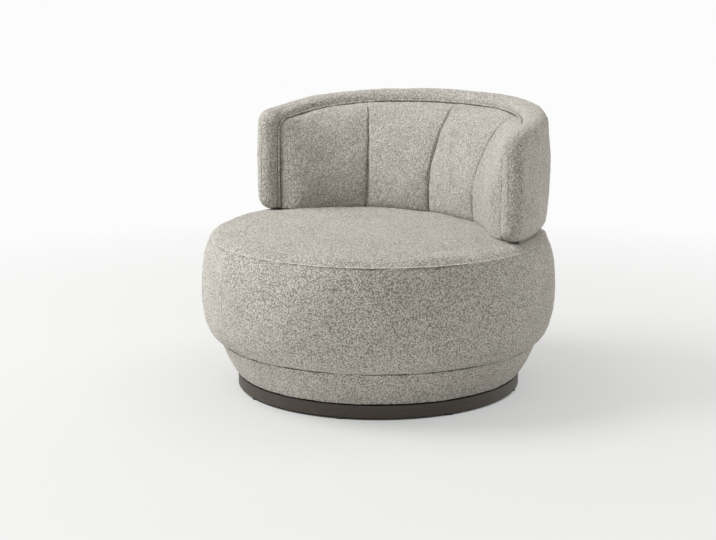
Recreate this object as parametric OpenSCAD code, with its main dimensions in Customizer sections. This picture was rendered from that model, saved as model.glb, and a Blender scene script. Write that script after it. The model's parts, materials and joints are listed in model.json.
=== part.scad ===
// Swivel tub chair: a round drum seat on a turning plinth, with a half-round channelled back.
// Millimetres. The origin is on the floor, on the swivel axis. +Y points to the back, +Z up.

/* [Chair] */
// Largest diameter of the drum
drum_d = 860; // [800:5:940]
// Height of the middle of the seat above the floor
seat_h = 398; // [370:1:430]
// Height of the rim above the floor, at the middle of the back
back_h = 690; // [640:1:760]
// How far the rim falls from the middle of the back to the arm ends
arm_drop = 50; // [0:1:80]

/* [Drum] */
// Height of the band below the lower seam
band_h = 82; // [60:1:110]
// Height of the seat's crown above the upper seam
crown_rise = 28; // [18:1:40]
// Width of the rounded shoulder of the seat
shoulder_w = 49; // [30:1:70]
// How far the upper seam lies inside the largest radius
upper_seam_in = 21; // [12:1:30]
// How far the lower seam lies inside the largest radius
lower_seam_in = 42; // [36:1:50]
// How far the side is pulled out above the lower seam
low_pull = 16; // [8:1:24]
// How far the side is pulled out below the upper seam
high_pull = 6; // [0:1:12]
// Thickness of the woven fabric
fabric_t = 3; // [2:0.5:4]
// Thinnest padding, at the foot of the band
pad_min = 3; // [2:0.5:6]

/* [Back] */
// How far the outer face of the rim lies inside the largest radius
back_in = 23; // [15:1:30]
// Thickness of the back at its rim
back_t = 60; // [54:1:72]
// How far the outer face of the back swells past the rim
wall_bulge = 7; // [0:1:10]
// How far the underside of the back lies below the middle of the seat
back_sink = 1; // [0:0.5:3]
// Radius of the outer lower edge of the back
foot_out_r = 33; // [31:0.5:34]
// Radius of the inner lower edge of the back
foot_in_r = 18; // [16:0.5:22]
// Thickness of the cord in the welt
welt_d = 5.5; // [4:0.5:8]
// Depth of the welt's middle below the top of the rim
welt_drop = 29; // [24:1:34]

/* [Back cushion] */
// Thickness of the cushion at the middle of the back, in the seam
cushion_mid_t = 146; // [100:1:170]
// Thickness of the cushion at the arm ends
cushion_end_t = 12; // [8:1:30]
// Crown of each channel over its seams
channel_crown = 16; // [6:1:22]
// Length over which the cushion rounds off at each arm end
cushion_round = 26; // [15:1:40]

/* [Plinth] */
// How far the plinth lies inside the largest radius
plinth_in = 84; // [70:1:110]
// Height of the plinth ring
plinth_h = 29; // [27:1:60]
// Thickness of the plinth ring
plinth_t = 16; // [15:1:24]
// Width of the ledge inside the plinth ring
ledge_w = 14; // [8:1:20]
// Thickness of the plinth board
board_t = 12; // [9:1:12]
// Open gap between plinth and fabric
reveal = 3; // [2:0.5:8]
// Height of the floor glides
glide_h = 6; // [4:0.5:8]
// Diameter of the floor glides
glide_d = 22; // [16:1:26]
// How far the glides stand in from the edge of the plinth
glide_inset = 1; // [0:0.5:2]
// Diameter of the nail of each glide
glide_nail_d = 3; // [2:0.5:4]
// Length of the nail of each glide
glide_nail_l = 12; // [8:1:20]
// Number of floor glides
glide_n = 8; // [4:1:12]

/* [Swivel] */
// Side of the square swivel plates
plate_w = 280; // [260:5:320]
// Corner radius of the swivel plates
plate_corner = 20; // [10:1:30]
// Thickness of the swivel plates
plate_t = 2.5; // [2:0.1:3]
// Height of the whole swivel
swivel_h = 14; // [13:0.5:14]
// Diameter of the circle of balls
race_d = 200; // [180:5:210]
// Width of the ball races
race_w = 16; // [12:1:20]
// Diameter of each ball
ball_d = 7; // [6:0.5:7.5]
// Number of balls
ball_n = 24; // [12:1:36]
// Thickness of the ball retainer
retainer_t = 2; // [1:0.5:2.5]
// Running clearance of the balls and of the pivot, on the radius
run_gap = 0.05; // [0.02:0.01:0.1]
// Diameter of the pivot bolt
pivot_d = 12; // [10:1:14]
// Diameter of the pivot bolt's head
pivot_head_d = 22; // [18:1:26]
// Thickness of the pivot bolt's head
pivot_head_t = 4; // [3:0.5:6]
// Thickness of the bushing's wall
bush_wall = 4; // [3:0.5:5]
// Diameter of the bushing's flange
bush_flange_d = 28; // [26:1:32]
// Thickness of the bushing's flange
bush_flange_t = 1.5; // [1:0.5:2]
// Distance across the flats of the pivot nut
nut_flats = 18; // [17:1:22]
// Thickness of the pivot nut
nut_t = 7; // [5:1:10]
// Thickness of the pivot washer
washer_t = 2; // [1.5:0.5:3]
// Diameter of the pivot washer
washer_d = 24; // [22:1:28]

/* [Drum frame] */
// Thickness of the base panel
panel_t = 15; // [12:1:18]
// Diameter of the hole in the middle of the base panel
panel_hole_d = 60; // [50:1:80]
// Thickness of the cloth under the drum
dust_t = 0.8; // [0.4:0.1:1.2]
// Thickness of the waist ring
waist_t = 12; // [9:1:15]
// Height of the waist ring above the lower seam
waist_lift = 8; // [8:1:12]
// How far the waist ring is let into the posts
post_notch = 15; // [8:1:20]
// Width of the waist ring
waist_w = 74; // [60:1:90]
// Depth of the drum posts, along the radius
post_depth = 45; // [35:1:55]
// Width of the drum posts
post_w = 50; // [35:1:70]
// Number of drum posts
post_n = 8; // [6:1:12]
// Thickness of the bent wall panel
wall_t = 4; // [3:0.5:6]
// How far the wall panel stands out past the lower seam
wall_out = 4; // [2:0.5:4.5]
// Thickness of the seat ring
ring_t = 18; // [15:1:24]
// Width of the seat ring
ring_w = 94; // [84:1:110]
// Padding and cover above the webbing, at the middle of the seat
seat_pad_t = 67; // [60:1:75]
// Width of the webbing straps
web_w = 60; // [50:1:80]
// Thickness of the webbing straps
web_t = 1.5; // [1:0.5:2.5]
// Spacing of the webbing straps, middle to middle
web_spacing = 120; // [100:5:140]
// How far the straps reach over the seat ring
web_hold = 48; // [30:1:52]

/* [Back frame] */
// Depth of the back frame, along the radius
frame_d = 40; // [38:1:41]
// Padding between the inner face of the rim and the back frame
frame_in = 9; // [8:0.5:11]
// Thickness of the bent panels of the back
skin_t = 4; // [3:0.5:6]
// Thickness of the rails of the back
rail_t = 18; // [15:1:24]
// Height of the lower rail above the underside of the back
rail_lift = 15; // [14:1:20]
// Padding between the back frame and the top of the rim, where the frame ends
rim_pad = 27; // [22:1:40]
// Thickness of the ribs
rib_t = 18; // [12:1:24]
// Thickness of the blocks under the back, along the radius
block_t = 20; // [16:1:20]
// Width of the blocks under the back
block_w = 60; // [40:1:80]
// Clearance round the blocks under the back
block_gap = 0.5; // [0.3:0.1:0.8]

/* [Fasteners] */
// Diameter of the bolts of the back
bolt_d = 8; // [6:1:10]
// Distance across the flats of those bolts
bolt_flats = 13; // [11:1:15]
// Height of their heads
bolt_head_t = 5.5; // [4:0.5:7]
// Diameter of the tee nuts' flanges
tee_d = 22; // [18:1:26]
// Thickness of the tee nuts' flanges
tee_t = 1.5; // [1:0.5:2]
// Wall of the tee nuts' barrels
tee_wall = 1.5; // [1:0.25:2]
// Length of the tee nuts' barrels
tee_l = 12; // [8:1:14]
// How far the bolts pass the tee nuts
bolt_past = 5; // [2:1:10]
// Diameter of the plate bolts
plate_bolt_d = 6; // [5:0.5:7]
// How far the plate bolts stand in from the edges of the plate
plate_bolt_in = 15; // [15:1:22]
// Length of the plate bolts in the base panel
plate_bolt_l = 12; // [8:1:14]
// How far the board screws stand in from the edges of the plate
board_screw_in = 30; // [25:1:36]
// Length of the board screws in the plinth board
board_screw_l = 10; // [6:1:11]
// Diameter of the wood screws
screw_d = 5; // [4:0.5:6]
// Diameter of the wood screws' heads
screw_head_d = 10; // [8:0.5:12]
// Height of the wood screws' heads
screw_head_t = 2.5; // [2:0.25:3]
// Length of the wood screws in the posts
screw_l = 40; // [25:1:50]
// Clearance of screws and bolts in their holes, on the radius
hole_gap = 0.1; // [0.05:0.05:0.3]

/* [Hidden] */

// Smoothness of the round solids
$fn = 96;
// Overrun of every cut
cut = 1;
// Gap between soft pieces that touch in use
soft_gap = 0.3;

// Colours
fabric_tone = [0.60, 0.58, 0.55];
stain_tone = [0.27, 0.24, 0.21];
ply_tone = [0.80, 0.68, 0.50];
steel_tone = [0.66, 0.67, 0.69];
foam_tone = [0.93, 0.90, 0.80];
black_tone = [0.10, 0.10, 0.10];

// Radii of the drum, from its largest radius inwards
drum_r = drum_d / 2;
upper_seam_r = drum_r - upper_seam_in;
lower_seam_r = drum_r - lower_seam_in;
wall_r = lower_seam_r + wall_out;
plinth_r = drum_r - plinth_in;
base_r = plinth_r - fabric_t - pad_min;
post_r = wall_r - waist_w + post_notch;

// Heights, from the floor up
plinth_top = glide_h + plinth_h;
base_z = plinth_top + reveal;
swivel_z = base_z - swivel_h;
board_z = swivel_z - board_t;
lower_seam_z = base_z + band_h;
waist_z = lower_seam_z + waist_lift;
upper_seam_z = seat_h - crown_rise;
web_top = seat_h - seat_pad_t;
ring_top = web_top - 2 * web_t;
ring_z = ring_top - ring_t;
side_h = upper_seam_z - lower_seam_z;

// A curve through four control points, in a number of steps
function curve(p, steps) = [for (i = [0 : steps]) let (t = i / steps)
    pow(1 - t, 3) * p[0] + 3 * t * pow(1 - t, 2) * p[1] + 3 * t * t * (1 - t) * p[2] + pow(t, 3) * p[3]];
// A point at shares of a box that starts at a corner
function at_shares(corner, size, share) = [corner[0] + size[0] * share[0], corner[1] + size[1] * share[1]];
// An outline drawn in by a thickness, without its first and last points
function drawn_in(p, t) = [for (i = [1 : len(p) - 2]) let (v = p[i + 1] - p[i - 1])
    p[i] + t * [-v[1], v[0]] / norm(v)];

// Outline of the band, from its foot to the lower seam
band_pull_shares = [[0, 0], [0.42, 0.305], [0.77, 0.634], [1, 1]];
band_steps = 8;
band_out = curve([for (s = band_pull_shares)
    at_shares([plinth_r, base_z], [lower_seam_r - plinth_r, band_h], s)], band_steps);
band_in = concat([[plinth_r - fabric_t, base_z]], drawn_in(band_out, fabric_t),
    [[lower_seam_r - fabric_t, lower_seam_z]]);

// Outline of the side, from the lower seam to the upper seam
low_pull_share = 0.08;
high_pull_share = 0.86;
side_steps = 20;
side_out = curve([[lower_seam_r, lower_seam_z],
    [drum_r + low_pull, lower_seam_z + low_pull_share * side_h],
    [drum_r + high_pull, lower_seam_z + high_pull_share * side_h],
    [upper_seam_r, upper_seam_z]], side_steps);
side_in = concat([[lower_seam_r - fabric_t, lower_seam_z]], drawn_in(side_out, fabric_t),
    [[upper_seam_r - fabric_t, upper_seam_z - fabric_t]]);
// The seat pad meets the side padding at this point of the outline
split_step = 15;

// Outline of the seat's top, from the upper seam to the middle
shoulder_pull_shares = [[0, 0], [0.12, 0.64], [0.49, 0.80], [1, 0.86]];
middle_pull_shares = [[0, 0.86], [0.17, 0.93], [0.67, 1], [1, 1]];
shoulder_steps = 8;
middle_steps = 8;
shoulder_r = upper_seam_r - shoulder_w;
shoulder_out = curve([for (s = shoulder_pull_shares)
    at_shares([upper_seam_r, upper_seam_z], [-shoulder_w, crown_rise], s)], shoulder_steps);
middle_out = curve([for (s = middle_pull_shares)
    at_shares([shoulder_r, upper_seam_z], [-shoulder_r, crown_rise], s)], middle_steps);
crown_out = concat(shoulder_out, [for (i = [1 : middle_steps]) middle_out[i]]);
crown_in = concat([[upper_seam_r - fabric_t, upper_seam_z - fabric_t]], drawn_in(crown_out, fabric_t),
    [[0, seat_h - fabric_t]]);

function reversed(list) = [for (i = [len(list) - 1 : -1 : 0]) list[i]];

// Places of the plinth
ledge_r = plinth_r - plinth_t - ledge_w;
glide_at = plinth_r - glide_d / 2 - glide_inset;

// Places of the swivel
plate_bolt_at = plate_w / 2 - plate_bolt_in;
board_screw_at = plate_w / 2 - board_screw_in;
ball_r = ball_d / 2;
ball_z = swivel_z + swivel_h / 2;
upper_plate_z = base_z - plate_t;
race_cover_share = 0.35;
race_h = ball_z - race_cover_share * ball_d - swivel_z - plate_t;
retainer_r = race_d / 2;
bush_r = pivot_d / 2 + run_gap + bush_wall;
bush_z = upper_plate_z - plate_t;
bush_top = base_z + bush_flange_t;
washer_z = bush_top + soft_gap;
pivot_top = washer_z + washer_t + nut_t + plate_t;

// Places of the back, from its outer face inwards
back_ro = drum_r - back_in;
back_ri = back_ro - back_t;
back_rc = (back_ro + back_ri) / 2;
back_z = seat_h - back_sink;
frame_ri = back_ri + frame_in;
frame_ro = frame_ri + frame_d;
rail_z = back_z + rail_lift;
block_r = frame_ri + (frame_d - block_t) * 0.3;
bolt_r = block_r + block_t / 2;

// The back is half a ring: its arm ends finish on the X axis, and are as round as its rim
arm_end_a = 90;
end_r = back_t / 2;
end_a = arm_end_a - end_r / back_rc * 180 / PI;
frame_a = 80;
rim_fall_power = 3;
function rim_z(a) = back_h - arm_drop * pow(abs(a) / arm_end_a, rim_fall_power);
frame_top = rim_z(frame_a) - rim_pad;
frame_h = frame_top - rail_z;

// Angles round the back at which its soft forms are drawn
end_turns = [22, 45, 67, 85];
arc_steps = 24;
arc_step_a = 2 * end_a / arc_steps;
facet_slack = back_ro * (1 - cos(arc_step_a / 2));
// The slot under the frame clears the blocks' corners
slot_ri = block_r - block_gap;
slot_ro = norm([block_r + block_t, block_w / 2]) + 2 * facet_slack + block_gap;
// Each station is an angle and how far the outline is drawn in there
function stations(t) = concat(
    [for (i = [len(end_turns) - 1 : -1 : 0]) end_station(-1, end_turns[i], t)],
    [for (i = [0 : arc_steps]) [-end_a + i * arc_step_a, t]],
    [for (turn = end_turns) end_station(1, turn, t)]);
function end_station(side, turn, t) =
    [side * (end_a + (end_r - t) * sin(turn) / back_rc * 180 / PI), t + (end_r - t) * (1 - cos(turn))];

function arc(c, r, from, to, steps) = [for (i = [0 : steps]) let (a = from + (to - from) * i / steps)
    c + r * [cos(a), sin(a)]];
function around(a, p) = [p[0] * sin(a), p[0] * cos(a), p[1]];

// Outline of the back across its thickness, from its inner lip to its outer lip under the frame
least_r = 1;
function back_outline(s, corner_steps, roll_steps, wall_steps) =
    let (xi = back_ri + s[1], xo = back_ro - s[1], zb = back_z + s[1], zt = rim_z(s[0]) - s[1],
        roll = (xo - xi) / 2, ri = max(foot_in_r - s[1], least_r),
        ro = min(max(foot_out_r - s[1], least_r), xo - xi - ri - least_r),
        bulge = wall_bulge * (1 - s[1] / back_t), shut = abs(s[0]) > end_a,
        middle = (xi + ri + xo - ro) / 2,
        lip_in = shut ? 0 : asin(max(xi + ri - slot_ri, 0) / ri),
        lip_out = shut ? 0 : asin(max(slot_ro - xo + ro, 0) / ro),
        foot_in = arc([xi + ri, zb + ri], ri, 270 - lip_in, 180, corner_steps),
        foot_out = arc([xo - ro, zb + ro], ro, 0, lip_out - 90, corner_steps))
    concat([shut ? [middle - least_r / 2, zb] : foot_in[0]],
        [for (i = [1 : corner_steps]) foot_in[i]],
        arc([xi + roll, zt - roll], roll, 180, 0, roll_steps),
        [for (i = [1 : wall_steps]) let (u = i / (wall_steps + 1))
            [xo + bulge * sin(180 * u), zt - roll + (zb + ro - zt + roll) * u]],
        [for (i = [0 : corner_steps - 1]) foot_out[i]],
        [shut ? [middle + least_r / 2, zb] : foot_out[corner_steps]]);
back_outer_rings = [for (s = stations(0)) [for (p = back_outline(s, 3, 7, 3)) around(s[0], p)]];
back_inner_rings = [for (s = stations(fabric_t)) [for (p = back_outline(s, 2, 4, 2)) around(s[0], p)]];
// Hollow for the frame, a hair wider than the frame where its facets cut the arcs
hollow_ro = frame_ro + facet_slack + soft_gap;
hollow_rings = [for (s = stations(fabric_t)) let (a = s[0] * (frame_a + 1) / arm_end_a)
    [for (p = [[slot_ri, rail_z], [frame_ri, rail_z], [frame_ri, frame_top], [hollow_ro, frame_top],
        [hollow_ro, rail_z], [slot_ro, rail_z]]) around(a, p)]];

// Faces of a skin that runs from ring to ring, with its first and last points left open
function skin(rings, points, start, flip) = [for (i = [0 : rings - 2], j = [0 : points - 2], half = [0, 1])
    let (a = start + i * points + j, b = a + points,
        f = half == 0 ? [a, b, b + 1] : [a, b + 1, a + 1]) flip ? reversed(f) : f];
function fan(first, points, flip) = [for (j = [1 : points - 2])
    let (f = [first, first + j, first + j + 1]) flip ? reversed(f) : f];
function strip(a, b, flip) = [for (i = [0 : len(a) - 2], half = [0, 1])
    let (f = half == 0 ? [a[i], b[i], b[i + 1]] : [a[i], b[i + 1], a[i + 1]]) flip ? reversed(f) : f];

// A sleeve between an outer and an inner run of rings, open along one edge and closed at its ends
module sleeve(outer, inner) {
    n = len(outer);
    mo = len(outer[0]);
    mi = len(inner[0]);
    so = n * mo;
    first_o = [for (i = [0 : n - 1]) i * mo];
    first_i = [for (i = [0 : n - 1]) so + i * mi];
    last_o = [for (i = [0 : n - 1]) i * mo + mo - 1];
    last_i = [for (i = [0 : n - 1]) so + i * mi + mi - 1];
    polyhedron([for (r = concat(outer, inner), p = r) p], concat(
        skin(n, mo, 0, true), skin(n, mi, so, false),
        fan(0, mo, true), fan(so, mi, false), fan((n - 1) * mo, mo, false), fan(so + (n - 1) * mi, mi, true),
        strip(first_o, first_i, true), strip(last_o, last_i, false),
        strip([first_o[0], last_o[0]], [first_i[0], last_i[0]], false),
        strip([first_o[n - 1], last_o[n - 1]], [first_i[n - 1], last_i[n - 1]], true)));
}

// A closed form through a run of rings
module loft(rings) {
    n = len(rings);
    m = len(rings[0]);
    polyhedron([for (r = rings, p = r) p], concat(
        skin(n, m, 0, true), fan(0, m, true), fan((n - 1) * m, m, false),
        strip([for (i = [0 : n - 1]) i * m + m - 1], [for (i = [0 : n - 1]) i * m], false)));
}

// The back cushion: four channels, each crowned between its seams, thickest low in the middle
channel_n = 4;
cushion_ro = back_ri - facet_slack - soft_gap;
welt_r = welt_d / 2;
welt_at = cushion_ro - welt_r;
welt_a = end_a;
welt_turn_r = 24;
welt_turn_a = welt_turn_r / welt_at * 180 / PI;
welt_top_a = welt_a - welt_turn_a;
welt_corner_z = rim_z(welt_top_a) - welt_drop - welt_turn_r;
cushion_a = welt_a - (2 * welt_r + soft_gap) / welt_at * 180 / PI;
cushion_z = seat_h + soft_gap;
channel_shares = [0, 0.06, 0.2, 0.35, 0.5, 0.65, 0.8, 0.94];
spread_power = 0.665;
crown_power = 3;
least_t = fabric_t + cut;
// Height and thickness of the cushion's front, as shares
front_shares = [[0, 0.93], [0.05, 0.985], [0.2, 1], [0.38, 0.97], [0.55, 0.86], [0.7, 0.72], [0.82, 0.57],
    [0.92, 0.4], [0.98, 0.22], [1, 0.06]];
channel_angles = concat([for (c = [0 : channel_n - 1], s = channel_shares)
    cushion_a * (2 * (c + s) / channel_n - 1)], [cushion_a]);
function channel_place(a) = (a / cushion_a + 1) / 2 * channel_n;
function channel_bulge(a) = let (t = channel_place(a) - floor(channel_place(a)))
    channel_crown * (1 - pow(abs(2 * t - 1), crown_power));
function end_ease(a) = let (left = (cushion_a - abs(a)) * PI / 180 * cushion_ro)
    left >= cushion_round ? 1 : sqrt(max(0, 1 - pow(1 - left / cushion_round, 2)));
function cushion_t(a) = cushion_end_t + (cushion_mid_t - cushion_end_t) * pow(cos(a), spread_power)
    + channel_bulge(a);
function cushion_top(a) = abs(a) <= welt_top_a ? rim_z(a) - welt_drop - welt_r - soft_gap
    : let (past = (abs(a) - welt_top_a) * PI / 180 * welt_at, turn_r = welt_turn_r - welt_r - soft_gap)
        welt_corner_z + sqrt(max(turn_r * turn_r - past * past, 0));
function cushion_ring(a, t) = let (z0 = cushion_z + t, z1 = cushion_top(a) - t,
        turn = a * (1 - t / cushion_ro * 180 / PI / cushion_a),
        front = [for (f = front_shares)
            [cushion_ro - max(cushion_t(a) * end_ease(a) * f[1], least_t) + t, z0 + (z1 - z0) * f[0]]])
    [for (p = concat([[cushion_ro, z0]], front, [[cushion_ro, z1]])) around(turn, p)];

// The welt runs up one arm end, along the rim and down the other
welt_turn_steps = 4;
welt_top_steps = 22;
welt_sides = 8;
welt_foot_z = cushion_z + welt_r;
welt_half = concat([[welt_a, welt_foot_z], [welt_a, (welt_foot_z + welt_corner_z) / 2]],
    [for (i = [0 : welt_turn_steps]) let (turn = 90 * i / welt_turn_steps)
        [welt_top_a + welt_turn_a * cos(turn), welt_corner_z + welt_turn_r * sin(turn)]]);
welt_path = concat([for (p = welt_half) [-p[0], p[1]]],
    [for (i = [1 : welt_top_steps - 1]) let (a = welt_top_a * (2 * i / welt_top_steps - 1))
        [a, rim_z(a) - welt_drop]],
    reversed(welt_half));
welt_points = [for (p = welt_path) around(p[0], [welt_at, p[1]])];
function welt_way(i) = let (v = welt_points[min(i + 1, len(welt_points) - 1)] - welt_points[max(i - 1, 0)])
    v / norm(v);
welt_rings = [for (i = [0 : len(welt_points) - 1]) let (out = around(welt_path[i][0], [1, 0]),
        up = cross(welt_way(i), out))
    [for (k = [0 : welt_sides - 1]) let (a = 360 * k / welt_sides)
        welt_points[i] + welt_r * (cos(a) * out - sin(a) * up)]];

// Places round the drum and the back
glide_angles = [for (i = [0 : glide_n - 1]) 360 * (i + 0.5) / glide_n];
post_angles = [for (i = [0 : post_n - 1]) 360 * (i + 0.5) / post_n];
block_angles = [-72, -36, 0, 36, 72];
rib_angles = [-78, -54, -18, 18, 54, 78];
four_corners = [[-1, -1], [-1, 1], [1, -1], [1, 1]];
screw_at = post_r - post_notch - (post_depth - post_notch) / 2;

// A flat ring
module ring(ro, ri, z, t) {
    translate([0, 0, z]) difference() {
        cylinder(r = ro, h = t);
        translate([0, 0, -cut]) cylinder(r = ri, h = t + 2 * cut);
    }
}

// Part of a ring, centred on +Y
module ring_part(ro, ri, z, t, half_a) {
    translate([0, 0, z]) rotate(90 - half_a) rotate_extrude(angle = 2 * half_a)
        translate([ri, 0]) square([ro - ri, t]);
}

// A block at a radius and an angle from +Y, from one radius out
module block(a, ri, depth, width, z, h) {
    rotate(-a) translate([-width / 2, ri, z]) cube([width, depth, h]);
}

// A headed screw that points along +Z, with its head below the origin
module screw(d, l, head_d, head_t) {
    cylinder(d = d, h = l, $fn = 32);
    translate([0, 0, -head_t]) cylinder(d = head_d, h = head_t, $fn = 32);
}

module turned(outline) {
    rotate_extrude() polygon(outline);
}

module plate_outline() {
    side = plate_w - 2 * plate_corner;
    union() {
        square([plate_w, side], center = true);
        square([side, plate_w], center = true);
        for (c = four_corners) translate(c * side / 2) circle(r = plate_corner, $fn = 48);
    }
}

// A race ring with its groove, for balls at a height
module race(z) {
    difference() {
        ring(retainer_r + race_w / 2, retainer_r - race_w / 2, z, race_h);
        rotate_extrude() translate([retainer_r, ball_z]) circle(r = ball_r + run_gap, $fn = 48);
    }
}

module floor_glides() {
    color(black_tone) for (a = glide_angles) rotate(-a) translate([0, glide_at, 0]) {
        cylinder(d = glide_d, h = glide_h, $fn = 48);
        cylinder(d = glide_nail_d, h = glide_h + glide_nail_l, $fn = 24);
    }
}

module plinth_ring() {
    color(stain_tone) difference() {
        turned([[ledge_r, glide_h], [plinth_r, glide_h], [plinth_r, plinth_top],
            [plinth_r - plinth_t, plinth_top], [plinth_r - plinth_t, board_z], [ledge_r, board_z]]);
        for (a = glide_angles) rotate(-a) translate([0, glide_at, glide_h - cut])
            cylinder(d = glide_nail_d + 2 * hole_gap, h = glide_nail_l + 2 * cut, $fn = 24);
    }
}

module plinth_board() {
    color(ply_tone) difference() {
        translate([0, 0, board_z]) cylinder(r = plinth_r - plinth_t - hole_gap, h = board_t);
        translate([0, 0, board_z - cut]) cylinder(d = pivot_head_d + pivot_head_t, h = board_t + 2 * cut);
        for (c = four_corners) translate([c[0] * board_screw_at, c[1] * board_screw_at, swivel_z + cut])
            mirror([0, 0, 1]) cylinder(d = screw_d + 2 * hole_gap, h = board_screw_l + 2 * cut, $fn = 32);
    }
}

module swivel_lower_plate() {
    color(steel_tone) {
        difference() {
            translate([0, 0, swivel_z]) linear_extrude(plate_t) plate_outline();
            translate([0, 0, swivel_z - cut]) cylinder(d = pivot_d + 2 * run_gap, h = plate_t + 2 * cut);
            for (c = four_corners) translate([c[0] * board_screw_at, c[1] * board_screw_at, swivel_z - cut])
                cylinder(d = screw_d + 2 * hole_gap, h = plate_t + 2 * cut, $fn = 32);
        }
        race(swivel_z + plate_t);
    }
}

module lower_plate_screws() {
    color(steel_tone) for (c = four_corners)
        translate([c[0] * board_screw_at, c[1] * board_screw_at, swivel_z + plate_t]) mirror([0, 0, 1])
            screw(screw_d, board_screw_l + plate_t, screw_head_d, screw_head_t);
}

module pivot_bolt() {
    color(steel_tone) {
        head_z = swivel_z - pivot_head_t;
        translate([0, 0, head_z]) cylinder(d = pivot_head_d, h = pivot_head_t);
        translate([0, 0, head_z]) cylinder(d = pivot_d, h = pivot_top - head_z);
    }
}

module pivot_nut() {
    color(steel_tone) difference() {
        union() {
            translate([0, 0, washer_z]) cylinder(d = washer_d, h = washer_t);
            translate([0, 0, washer_z + washer_t]) cylinder(d = nut_flats / cos(30), h = nut_t, $fn = 6);
        }
        translate([0, 0, washer_z - cut]) cylinder(d = pivot_d + 2 * run_gap, h = washer_t + nut_t + 2 * cut);
    }
}

module ball_retainer() {
    color("goldenrod") difference() {
        ring(retainer_r + race_w / 2, retainer_r - race_w / 2, ball_z - retainer_t / 2, retainer_t);
        for (i = [0 : ball_n - 1]) rotate(360 * i / ball_n)
            translate([retainer_r, 0, ball_z - retainer_t / 2 - cut])
                cylinder(r = ball_r + run_gap, h = retainer_t + 2 * cut, $fn = 32);
    }
}

module bearing_balls() {
    color(steel_tone) for (i = [0 : ball_n - 1]) rotate(360 * i / ball_n) translate([retainer_r, 0, ball_z])
        sphere(r = ball_r, $fn = 24);
}

module swivel_upper_plate() {
    color(steel_tone) {
        difference() {
            translate([0, 0, upper_plate_z]) linear_extrude(plate_t) plate_outline();
            translate([0, 0, upper_plate_z - cut]) cylinder(r = bush_r + run_gap, h = plate_t + 2 * cut);
            for (c = four_corners)
                translate([c[0] * plate_bolt_at, c[1] * plate_bolt_at, upper_plate_z - cut])
                    cylinder(d = plate_bolt_d + 2 * hole_gap, h = plate_t + 2 * cut, $fn = 32);
        }
        race(upper_plate_z - race_h);
    }
}

module pivot_bushing() {
    color("whitesmoke") difference() {
        union() {
            translate([0, 0, bush_z]) cylinder(r = bush_r, h = bush_top - bush_z);
            translate([0, 0, base_z]) cylinder(d = bush_flange_d, h = bush_flange_t);
        }
        translate([0, 0, bush_z - cut]) cylinder(d = pivot_d + 2 * run_gap, h = bush_top - bush_z + 2 * cut);
    }
}

module upper_plate_bolts() {
    color(steel_tone) for (c = four_corners)
        translate([c[0] * plate_bolt_at, c[1] * plate_bolt_at, upper_plate_z])
            screw(plate_bolt_d, plate_bolt_l + plate_t, 2 * plate_bolt_d, screw_head_t);
}

module base_panel() {
    color(ply_tone) difference() {
        ring(base_r, panel_hole_d / 2, base_z, panel_t);
        for (c = four_corners) translate([c[0] * plate_bolt_at, c[1] * plate_bolt_at, base_z - cut])
            cylinder(d = plate_bolt_d + 2 * hole_gap, h = plate_bolt_l + 2 * cut, $fn = 32);
        for (a = post_angles) rotate(-a) translate([0, screw_at, base_z]) {
            translate([0, 0, -cut]) cylinder(d = screw_d + 2 * hole_gap, h = panel_t + 2 * cut, $fn = 32);
            translate([0, 0, -cut])
                cylinder(d = screw_head_d + 2 * hole_gap, h = screw_head_t + cut, $fn = 32);
        }
    }
}

module dust_cover() {
    color(black_tone) ring(base_r, plate_w / sqrt(2), base_z - dust_t, dust_t);
}

module base_screws() {
    color(steel_tone) for (a = post_angles) rotate(-a) translate([0, screw_at, base_z + screw_head_t])
        screw(screw_d, panel_t - screw_head_t + screw_l, screw_head_d, screw_head_t);
}

module drum_posts() {
    color(ply_tone) difference() {
        for (a = post_angles) block(a, post_r - post_depth, post_depth, post_w, base_z + panel_t,
            ring_z - base_z - panel_t);
        ring(wall_r, wall_r - waist_w, waist_z, waist_t);
        for (a = post_angles) rotate(-a) translate([0, screw_at, 0]) {
            translate([0, 0, base_z + panel_t - cut])
                cylinder(d = screw_d + 2 * hole_gap, h = screw_l + 2 * cut, $fn = 32);
            translate([0, 0, ring_z - screw_l - cut])
                cylinder(d = screw_d + 2 * hole_gap, h = screw_l + 2 * cut, $fn = 32);
        }
    }
}

module waist_ring() {
    color(ply_tone) ring(wall_r, wall_r - waist_w, waist_z, waist_t);
}

module drum_wall() {
    color(ply_tone) ring(wall_r, wall_r - wall_t, waist_z + waist_t, ring_z - waist_z - waist_t);
}

module seat_ring() {
    color(ply_tone) difference() {
        ring(wall_r, wall_r - ring_w, ring_z, ring_t);
        for (a = block_angles) rotate(-a) translate([0, bolt_r, ring_z - cut])
            cylinder(d = bolt_d + 2 * hole_gap, h = ring_t + 2 * cut, $fn = 32);
        for (a = post_angles) rotate(-a) translate([0, screw_at, ring_z]) {
            translate([0, 0, -cut]) cylinder(d = screw_d + 2 * hole_gap, h = ring_t + 2 * cut, $fn = 32);
            translate([0, 0, ring_t - screw_head_t])
                cylinder(d = screw_head_d + 2 * hole_gap, h = screw_head_t + cut, $fn = 32);
        }
    }
}

module ring_screws() {
    color(steel_tone) for (a = post_angles) rotate(-a) translate([0, screw_at, ring_top - screw_head_t])
        mirror([0, 0, 1]) screw(screw_d, ring_t - screw_head_t + screw_l, screw_head_d, screw_head_t);
}

// Straps side by side, each as long as the seat ring allows
module straps(z) {
    reach = wall_r - ring_w + web_hold;
    count = floor((reach - web_w) / web_spacing);
    for (i = [-count : count]) {
        x = i * web_spacing;
        half = sqrt(reach * reach - pow(abs(x) + web_w / 2, 2));
        translate([x - web_w / 2, -half, z]) cube([web_w, 2 * half, web_t]);
    }
}

module seat_webbing_long() {
    color("tan") straps(ring_top);
}

module seat_webbing_cross() {
    color("tan") rotate(90) straps(ring_top + web_t);
}

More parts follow.
